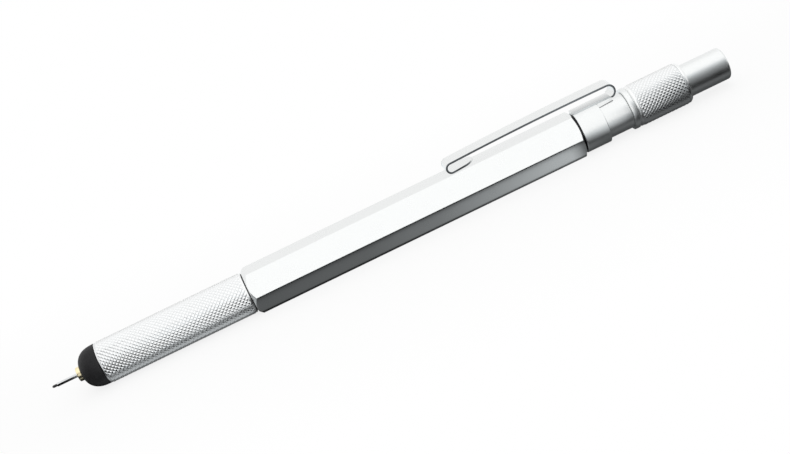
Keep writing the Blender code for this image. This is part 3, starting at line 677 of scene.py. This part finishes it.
def drawKnurl(bm, start, end, valleyR):
    # a sheet of diamonds, wrapped round the axis and raised one by one
    rows = round((end - start) / knurl["pitch"])
    bmesh.ops.create_grid(bm, x_segments=rows, y_segments=knurl["around"], size=0.5)
    squares = bm.edges[:]
    bmesh.ops.poke(bm, faces=bm.faces[:])
    inner = [edge for edge in squares if not edge.is_boundary]
    bmesh.ops.dissolve_edges(bm, edges=inner, use_verts=False)
    rims = [edge for edge in bm.edges
            if edge.is_boundary and abs(edge.verts[0].co.x - edge.verts[1].co.x) < sheetTiny]
    bmesh.ops.subdivide_edges(bm, edges=rims, cuts=knurl["split"])
    for vert in bm.verts:
        turn = 2 * pi * (vert.co.y + 0.5)
        station = start + (end - start) * (vert.co.x + 0.5)
        vert.co = (station, valleyR * sin(turn), valleyR * cos(turn))
    bmesh.ops.remove_doubles(bm, verts=bm.verts, dist=weld)
    seam = [edge for edge in bm.edges
            if all(abs(vert.co.y) < weld and vert.co.z > 0 for vert in edge.verts)]
    bmesh.ops.dissolve_edges(bm, edges=seam, use_verts=False)
    bmesh.ops.recalc_face_normals(bm, faces=bm.faces)
    diamonds = [face for face in bm.faces if len(face.verts) == 4]
    if sum(face.normal.dot(face.calc_center_median() * Vector((0, 1, 1))) for face in diamonds) < 0:
        bmesh.ops.reverse_faces(bm, faces=bm.faces)
    halves = [face for face in bm.faces if len(face.verts) > 4]
    bmesh.ops.inset_individual(bm, faces=diamonds, thickness=knurl["flank"], depth=knurl["depth"],
                               use_even_offset=True)
    bmesh.ops.inset_individual(bm, faces=halves, thickness=knurl["endFlank"], depth=knurl["endDepth"],
                               use_even_offset=True)


def knurledPiece(name, shape, start, end, radius, inside, body, stands):
    # inside is the outline of the bore, from the rear face to the front face
    chamfer, rounding = shape["chamfer"], shape["round"]
    rim = chamfer + shape["rim"]
    rimR = radius - knurl["depth"] / 2
    valleyR = radius - knurl["depth"]
    bandStart, bandEnd = start + rim, end - rim
    rear = [
        (bandEnd, valleyR),
        (bandEnd + knurl["rimStep"], rimR),
        (end - chamfer, rimR, rounding),
        (end, radius - chamfer, rounding),
    ]
    front = [
        (start, radius - chamfer, rounding),
        (start + chamfer, rimR, rounding),
        (bandStart - knurl["rimStep"], rimR),
        (bandStart, valleyR),
    ]
    bm = bmesh.new()
    drawKnurl(bm, bandStart, bandEnd, valleyR)
    drawOutline(bm, rear + inside + front, closed=False)
    spinOutline(bm, knurl["around"] * (knurl["split"] + 1))
    piece = addObject(name, bm)
    # painted shade: darker the deeper a point lies in the knurl's valleys
    values = []
    for vert in piece.data.vertices:
        reach = Vector(vert.co.yz).length
        inBand = bandStart < vert.co.x < bandEnd and reach > valleyR * knurl["boreShare"]
        values.append(shareOf(radius - reach, 0.0, knurl["depth"]) if inBand else 0.0)
    markPaintedShade(piece, "POINT", values)
    return finishPiece(piece, "knurled", body, [stands])


grip = {
    "chamfer": 0.15 * mm,
    "rim": 0.1 * mm,  # plain band beside the chamfer
    "round": 0.06 * mm,
    "spigotRound": 0.1 * mm,
    "lip": 0.28 * mm,  # how far the grip's rear edge reaches over the spacer
    "lipWall": 0.4 * mm,
}


def makeGrip():
    start, spigotEnd, radius = extent("knurled_grip")
    seat = extent("spacer_ring")[0] - seatGap
    end = seat + grip["lip"]
    flangeR = extent("nose_bush")[2] + fitGap
    flangeEnd = extent("nose_bush")[1] + seatGap
    boreR = extent("retract_spring")[2] + slideGap
    spigotR = extent("guide_sleeve")[2]
    lipR = radius - grip["lipWall"]
    inside = [
        (end, lipR),
        (seat, lipR),
        (seat, spigotR),
        (spigotEnd, spigotR, grip["spigotRound"]),
        (spigotEnd, boreR),
        (flangeEnd, boreR),
        (flangeEnd, flangeR),
        (start, flangeR),
    ]
    knurledPiece("grip", grip, start, end, radius, inside, "barrel", "knurled_grip")


knob = {
    "chamfer": 0.4 * mm,
    "rim": 0.3 * mm,
    "round": 0.08 * mm,
    "mouthRound": 0.1 * mm,
    "ringRoom": 0.1 * mm,
    "guideRoom": 0.3 * mm,  # behind the guide sleeve
    "pressRoom": 2.5 * mm,  # for the button's press
}


def makeKnob():
    start, end, radius = extent("twist_knob")
    guideEnd, guideR = extent("guide_sleeve")[1:]
    ringStart, ringEnd, ringR = extent("retaining_ring")
    buttonStart, _, buttonR = extent("push_button")
    camR = extent("cam_tube")[2] + slideGap
    mouthR = buttonR + slideGap
    boreR = guideR + slideGap
    roomR = ringR + slideGap
    roomStart, roomEnd = ringStart - knob["ringRoom"], ringEnd + knob["ringRoom"]
    keyStart = guideEnd + knob["guideRoom"]
    keyEnd = buttonStart - knob["pressRoom"]
    inside = [
        (end, mouthR, knob["mouthRound"]),
        (keyEnd, mouthR),
        (keyEnd, camR),
        (keyStart, camR),
        (keyStart, boreR),
        (roomEnd, boreR),
        (roomEnd, roomR),
        (roomStart, roomR),
        (roomStart, boreR),
        (start, boreR),
    ]
    knurledPiece("twistKnob", knob, start, end, radius, inside, "knob", "twist_knob")


# the rubber dome, and the brass nose that comes out of it
stylusTip = {
    "fullness": 2.55,  # 2 is round, more is squarer
    "points": 30,
    "holeGap": 0.12 * mm,
    "holeRound": 0.08 * mm,
    "bushWall": 1.0 * mm,  # of the bush that it sits on
}
nose = {
    "radius": 1.37 * mm,
    "frontRound": 0.2 * mm,
    "boreRound": 0.05 * mm,
    "shoulderRound": 0.15 * mm,
    "rearRound": 0.08 * mm,
    "washerSeat": 1.2 * mm,  # from the shoulder to the washer's rear
    "slipRoom": 0.85 * mm,  # for the clutch ring's slip
    "steps": 96,
}


def makeStylusTip():
    start, end, domeR = extent("stylus_tip")
    noseR = nose["radius"]
    cupStart = extent("nose_bush")[0] - seatGap
    cupR = noseR + slideGap + stylusTip["bushWall"] + fitGap
    holeR = noseR + stylusTip["holeGap"]
    power = 2 / stylusTip["fullness"]
    last = acos((holeR / domeR) ** (1 / power))
    outline = []
    for i in range(stylusTip["points"] + 1):
        turn = last * i / stylusTip["points"]
        reach = (sin(turn) / sin(last)) ** power
        outline.append((end - (end - start) * reach, domeR * cos(turn) ** power))
    outline[-1] += (stylusTip["holeRound"],)
    outline += [(cupStart, holeR), (cupStart, cupR), (end, cupR)]
    turnedPiece("stylusTip", outline, "rubber", "barrel", "stylus_tip")


def makeNose():
    start, end, backR = extent("nose_cone")
    noseR = nose["radius"]
    seatR = extent("lead_sleeve")[2] + leadGap
    seatEnd = extent("lead_sleeve")[1] + seatGap
    shoulder = extent("nose_bush")[1] + seatGap
    washerR = extent("lead_retainer")[2] + fitGap
    washerEnd = shoulder + nose["washerSeat"]
    clutchR = extent("clutch_ring")[2] + slideGap
    clutchStart = extent("clutch_ring")[0] - nose["slipRoom"]
    chuckR = extent("chuck")[2] + slideGap
    outline = [
        (start, seatR, nose["boreRound"]),
        (start, noseR, nose["frontRound"]),
        (shoulder, noseR),
        (shoulder, backR, nose["shoulderRound"]),
        (end, backR, nose["rearRound"]),
        (end, clutchR),
        (clutchStart, clutchR),
        (clutchStart, chuckR),
        (washerEnd, chuckR),
        (washerEnd, washerR),
        (seatEnd, washerR),
        (seatEnd, seatR),
    ]
    turnedPiece("brassNose", outline, "brass", "cartridge", "nose_cone", steps=nose["steps"])


leadPipe = {"round": 0.04 * mm, "steps": 64}
leadStick = {
    "worn": 0.25 * mm,  # length of the worn point
    "pointR": 0.15 * mm,
    "round": 0.06 * mm,
    "steps": 48,
}


def makePipeAndLead():
    start, end, radius = extent("lead_sleeve")
    leadStart, leadEnd, leadR = extent("lead")
    boreR = leadR + leadGap
    outline = [
        (start, boreR),
        (start, radius, leadPipe["round"]),
        (end, radius, leadPipe["round"]),
        (end, boreR),
    ]
    turnedPiece("leadPipe", outline, "steel", "cartridge", "lead_sleeve",
                steps=leadPipe["steps"])
    outline = [
        (leadStart, 0.0),
        (leadStart, leadStick["pointR"], leadStick["round"]),
        (leadStart + leadStick["worn"], leadR, leadStick["round"]),
        (leadEnd, leadR),
        (leadEnd, 0.0),
    ]
    turnedPiece("leadStick", outline, "lead", "lead", "lead",
                steps=leadStick["steps"], closed=False)


clipSleeve = {
    "gap": 0.31 * mm,  # gap in front of the band, with its lip painted dark as shade
    "lip": 0.5 * mm,
    "band": 5.2 * mm,
    "bandRound": 0.14 * mm,
    "neckWall": 0.48 * mm,
    "neckRound": 0.06 * mm,
    "steps": 192,
    "channelSide": 0.01 * mm,
    "channelOver": 0.5 * mm,  # how far the cutter starts before the sleeve
    "padDepth": 0.8,  # height of the pad's foot against the neck's radius
    "padReach": 0.3 * mm,  # how far the pad goes under the rear bend
    "padFoot": (1.35, 1.15),  # the pad's width at its foot against the leg's, front and rear
    "padShadeLine": (0.46, 0.58),  # height over the pad's foot, in mm, of the line below which its foot has painted shade
    # painted shade, as shares of the collar's near-black colour: the pad's foot, the lip inside the gap,
    # and the band's front face by the gap
    "padFootShade": 0.8,
    "gapShade": 1.0,
    "rimShade": 0.5,
    "skin": 0.01 * mm,
}


def makeClipSleeve():
    start, end, bandR = extent("clip_sleeve")
    boreR = extent("guide_sleeve")[2] + fitGap
    lipR = boreR + clipSleeve["lip"]
    neckR = boreR + clipSleeve["neckWall"]
    rim = start + clipSleeve["gap"]
    neckStart = start + clipSleeve["band"]
    bm = bmesh.new()
    drawOutline(bm, [
        (start, boreR),
        (start, lipR),
        (rim, lipR),
        (rim, bandR, clipSleeve["bandRound"]),
        (neckStart, bandR, clipSleeve["bandRound"]),
        (neckStart, neckR, clipSleeve["neckRound"]),
        (end, neckR, clipSleeve["neckRound"]),
        (end, boreR),
    ])
    spinOutline(bm, clipSleeve["steps"])
    sleeve = addObject("clipSleeve", bm)

    # channel for the clip's leg
    low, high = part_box("clip_root")
    floor = low.z - axisZ - fitGap
    width = clip["legWidth"] + 2 * clipSleeve["channelSide"]
    bm = drawBlock(start - clipSleeve["channelOver"], high.x, width, floor, floor + bandR)
    cutWith(sleeve, addObject("clipChannel", bm), "DIFFERENCE")

    # pad under the clip's rear bend, wider at its foot, cut along a line round it below which it gets
    # painted shade
    padEnd = high.x - (high.z - low.z) / 2 - clip["rearDraw"] + clipSleeve["padReach"]
    foot = neckR * clipSleeve["padDepth"]
    bm = drawBlock(neckStart, padEnd, clip["legWidth"], foot, floor)
    for share, place in zip(clipSleeve["padFoot"], (neckStart, padEnd)):
        corners = [vert for vert in bm.verts if vert.co.z < foot + weld and abs(vert.co.x - place) < weld]
        bmesh.ops.scale(bm, vec=(1.0, share, 1.0), verts=corners)
    frontLine, rearLine = (foot + rise * mm for rise in clipSleeve["padShadeLine"])
    bmesh.ops.bisect_plane(bm, geom=bm.verts[:] + bm.edges[:] + bm.faces[:],
                           plane_co=(neckStart, 0.0, frontLine),
                           plane_no=(frontLine - rearLine, 0.0, padEnd - neckStart))
    cutWith(sleeve, addObject("clipPad", bm), "UNION")

    # painted shade: the pad's foot, the lip inside the gap, and half on the band's front face
    values = []
    for face in sleeve.data.polygons:
        x, y, z = face.center
        reach = Vector((y, z)).length
        padShadeTop = frontLine + (rearLine - frontLine) * (x - neckStart) / (padEnd - neckStart)
        onPad = neckStart + weld < x < padEnd + weld and reach > neckR + clipSleeve["skin"]
        value = 0.0
        if onPad and z < padShadeTop:
            value = clipSleeve["padFootShade"]
        elif x < rim - weld and boreR < reach < lipR + weld:
            value = clipSleeve["gapShade"]
        elif abs(x - rim) < weld and lipR < reach:
            value = clipSleeve["rimShade"]
        values.append(value)
    markPaintedShade(sleeve, "FACE", values)
    finishPiece(sleeve, "collar", "barrel", ["clip_sleeve"])


thrustRing = {"round": 0.12 * mm, "steps": 160}
spacerRing = {"round": 0.03 * mm}


def makeRings():
    boreR = extent("guide_sleeve")[2] + fitGap
    start, end, radius = extent("thrust_ring")
    outline = [
        (start, boreR),
        (start, radius, thrustRing["round"]),
        (end, radius, thrustRing["round"]),
        (end, boreR),
    ]
    turnedPiece("thrustRing", outline, "turned", "barrel", "thrust_ring",
                steps=thrustRing["steps"])
    start, end, radius = extent("spacer_ring")
    lipEnd = start + grip["lip"]  # the grip's rear edge is over it
    underR = extent("knurled_grip")[2] - grip["lipWall"] - fitGap
    outline = [
        (start, boreR),
        (start, underR),
        (lipEnd, underR),
        (lipEnd, radius, spacerRing["round"]),
        (end, radius, spacerRing["round"]),
        (end, boreR),
    ]
    turnedPiece("spacerRing", outline, "dark", "barrel", "spacer_ring")


# the clip is one strip: leg, rear bend, arm, front fold and tongue
clip = {
    "width": 3.8 * mm,
    "legWidth": 2.6 * mm,
    "thickness": 0.4 * mm,
    "rearDrop": 0.18 * mm,  # the rear bend is a little lower and shorter than its solid
    "rearDraw": 0.46 * mm,
    "bendSteps": 28,
    "shoulder": (2.0, 24.0),  # degrees round the rear bend where the strip widens
    "arch": 0.22 * mm,
    "armSteps": 12,
    "foldRadius": 0.92 * mm,
    "tongue": 4.4 * mm,
    "tongueRise": 0.33 * mm,
    "tonguePoint": 0.25 * mm,
    "tongueSteps": 10,
    "edgeRound": 0.09 * mm,
    "edgeSteps": 3,
    "edgeAngle": 50,  # in degrees
    "sideShadeTurn": (0.6, 0.9),  # painted shade: darker where the strip's faces turn sideways
    # painted shade on the leg's top, darker towards its near side
    "legPaintedShade": 0.5,
    "legTop": 0.6,  # what belongs to the leg, over its middle in thicknesses
    "skin": 0.02 * mm,
    "give": 3.3 * mm,  # direction in which it springs
    "giveLean": (-0.3, 0.0, 0.954),  # leaves the leg on the barrel's side and takes the arm along
}


def growStrip(bm, edge, move):
    made = bmesh.ops.extrude_edge_only(bm, edges=[edge])["geom"]
    bmesh.ops.translate(bm, vec=move, verts=[item for item in made if isinstance(item, bmesh.types.BMVert)])
    return next(item for item in made if isinstance(item, bmesh.types.BMEdge))


def bendStrip(bm, edge, centre):
    made = bmesh.ops.spin(bm, geom=[edge], cent=centre, axis=(0, 1, 0), angle=-pi, steps=clip["bendSteps"])
    return next(item for item in made["geom_last"] if isinstance(item, bmesh.types.BMEdge))


def makeClip():
    rootLow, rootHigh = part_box("clip_root")
    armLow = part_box("clip_arm")[0]
    half = clip["width"] / 2
    thick = clip["thickness"]
    foldR = clip["foldRadius"]
    legHeight = rootLow.z - axisZ + thick / 2
    armHeight = rootHigh.z - axisZ - thick / 2 - clip["rearDrop"]
    bendR = (armHeight - legHeight) / 2
    bendX = rootHigh.x - thick / 2 - bendR - clip["rearDrop"] / 2 - clip["rearDraw"]
    foldX = armLow.x + thick / 2 + foldR
    footHeight = armLow.z - axisZ + thick / 2
    bm = bmesh.new()
    ends = [bm.verts.new((rootLow.x, side * half, legHeight)) for side in (-1, 1)]
    edge = growStrip(bm, bm.edges.new(ends), (bendX - rootLow.x, 0, 0))
    edge = bendStrip(bm, edge, (bendX, 0, legHeight + bendR))
    drop = footHeight + 2 * foldR - armHeight
    steps = clip["armSteps"]
    for i in range(steps):
        arch = 4 * clip["arch"] * (1 - (2 * i + 1) / steps) / steps
        edge = growStrip(bm, edge, ((foldX - bendX) / steps, 0, drop / steps + arch))
    edge = bendStrip(bm, edge, (foldX, 0, footHeight + foldR))
    straight = clip["tongue"] - half
    rise = clip["tongueRise"] / clip["tongue"]
    edge = growStrip(bm, edge, (straight, 0, straight * rise))
    quarter = pi / 2 / clip["tongueSteps"]
    for i in range(clip["tongueSteps"]):
        reach = half * (sin((i + 1) * quarter) - sin(i * quarter))
        edge = growStrip(bm, edge, (reach, 0, reach * rise))
        share = max(cos((i + 1) * quarter), clip["tonguePoint"] / half)
        bmesh.ops.scale(bm, vec=(1, share * half / abs(edge.verts[0].co.y), 1), verts=edge.verts)

    # the leg is narrower, and widens round the rear bend
    narrow = clip["legWidth"] / clip["width"]
    low, high = (radians(angle) for angle in clip["shoulder"])
    for vert in bm.verts:
        if vert.co.z > legHeight + bendR or vert.co.x < rootLow.x - weld:
            continue
        turn = 0.0
        if vert.co.x > bendX:
            turn = acos(max(-1.0, min(1.0, (legHeight + bendR - vert.co.z) / bendR)))
        share = shareOf(turn, low, high)
        vert.co.y *= narrow + (1 - narrow) * (1 - (1 - share) ** 2) ** 0.5
    strip = addObject("clip", bm)
    wall = strip.modifiers.new("wall", "SOLIDIFY")
    wall.thickness = thick
    wall.offset = 0.0
    wall.use_even_offset = True
    soften = strip.modifiers.new("soften", "BEVEL")
    soften.width = clip["edgeRound"]
    soften.segments = clip["edgeSteps"]
    soften.limit_method = "ANGLE"
    soften.angle_limit = radians(clip["edgeAngle"])
    applyModifiers(strip)

    # painted shade: darker where the strip's faces turn sideways, and on the near side of the leg's top
    values = []
    for vert in strip.data.vertices:
        value = shareOf(abs(vert.normal.y), *clip["sideShadeTurn"])
        if vert.co.z < legHeight + thick * clip["legTop"] and rootLow.x < vert.co.x < bendX:
            onTop = vert.co.z > legHeight + thick / 2 - clip["skin"]
            value = clip["legPaintedShade"] if onTop and vert.co.y < 0 else 0.0
        values.append(value)
    markPaintedShade(strip, "POINT", values)
    finishPiece(strip, "stamped", None, ["clip_root", "clip_arm"])
    strip.visible_glossy = False  # keeps its dark underside out of the metal below it
    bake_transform(strip)


# the push button, and the eraser under it
pushButton = {"endRound": 0.5 * mm, "mouthRound": 0.12 * mm, "endWall": 1.0 * mm, "steps": 160}
eraserStick = {"round": 0.3 * mm, "steps": 64}
eraserFerrule = {
    "wall": 0.4 * mm,
    "camWall": 0.46 * mm,  # room for the wall of the cam tube round it
    "round": 0.08 * mm,
    "steps": 64,
}


def makeButton():
    start, end, radius = extent("push_button")
    boreR = extent("cam_tube")[2] + fitGap
    floor = end - pushButton["endWall"]
    outline = [
        (floor, 0.0),
        (floor, boreR),
        (start, boreR),
        (start, radius, pushButton["mouthRound"]),
        (end, radius, pushButton["endRound"]),
        (end, 0.0),
    ]
    turnedPiece("pushButton", outline, "turned", "cap", "push_button",
                steps=pushButton["steps"], closed=False)


def makeEraser():
    start, end, radius = extent("eraser")
    outline = [(start, 0.0), (start, radius), (end, radius, eraserStick["round"]), (end, 0.0)]
    turnedPiece("eraserStick", outline, "eraser", "plunger", "eraser",
                steps=eraserStick["steps"], closed=False)
    start, end, lipR = extent("eraser_ferrule")
    outerR = extent("cam_tube")[2] - eraserFerrule["camWall"]
    innerR = radius + fitGap
    wall, rounding = eraserFerrule["wall"], eraserFerrule["round"]
    outline = [
        (start, 0.0),
        (start, outerR),
        (end - wall, outerR),
        (end - wall, lipR, rounding),
        (end, lipR, rounding),
        (end, innerR, rounding),
        (start + wall, innerR),
        (start + wall, 0.0),
    ]
    turnedPiece("eraserFerrule", outline, "steel", "plunger", "eraser_ferrule",
                steps=eraserFerrule["steps"], closed=False)


# springs, with the pieces at their ends
springs = {
    "retractSpring": {
        "node": "retract_spring",
        "between": ("barrel", "cartridge"),
        "wire": 0.32 * mm,
        "turns": 8,
    },
    "chuckSpring": {
        "node": "chuck_spring",
        "between": ("cartridge", "feed"),
        "wire": 0.24 * mm,
        "turns": 7,
    },
}
coilSteps = 32  # in each turn
wireSides = 10


def makeSprings():
    for name, spring in springs.items():
        start, end, radius = extent(spring["node"])
        wireR = spring["wire"] / 2
        steps = spring["turns"] * coilSteps
        bm = bmesh.new()
        bmesh.ops.create_circle(bm, cap_ends=True, radius=wireR, segments=wireSides)
        bmesh.ops.translate(bm, vec=(start + wireR, radius - wireR, 0), verts=bm.verts)
        rise = Vector((end - start - 2 * wireR, 0, 0)) / steps
        bmesh.ops.spin(bm, geom=bm.verts[:] + bm.edges[:] + bm.faces[:], axis=(1, 0, 0), dvec=rise,
                       angle=2 * pi * spring["turns"], steps=steps)
        piece = finishPiece(addObject(name, bm), "steel", None, [spring["node"]])
        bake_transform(piece)


# the other inner pieces keep their own shapes
innerFinishes = {
    "steel": ["guide_sleeve", "retaining_ring", "follower_pin"],
    "brass": ["cartridge_tube", "chuck", "follower_collar", "clutch_ring"],
    "dark": ["nose_bush", "cam_tube"],
    "pale": ["lead_tank"],
    "rubber": ["lead_retainer"],
}


def dressInside():
    for finish, names in innerFinishes.items():
        for name in names:
            for materialSlot in nodes[name].material_slots:
                materialSlot.material = finishes[finish]


makeHexBarrel()
makeGrip()
makeKnob()
print("barrel, grip and knob ready")
makeStylusTip()
makeNose()
makePipeAndLead()
print("dome, nose and lead ready")
makeClipSleeve()
makeRings()
makeClip()
print("clip and rings ready")
makeButton()
makeEraser()
makeSprings()
dressInside()
print("button, eraser and inner pieces ready")
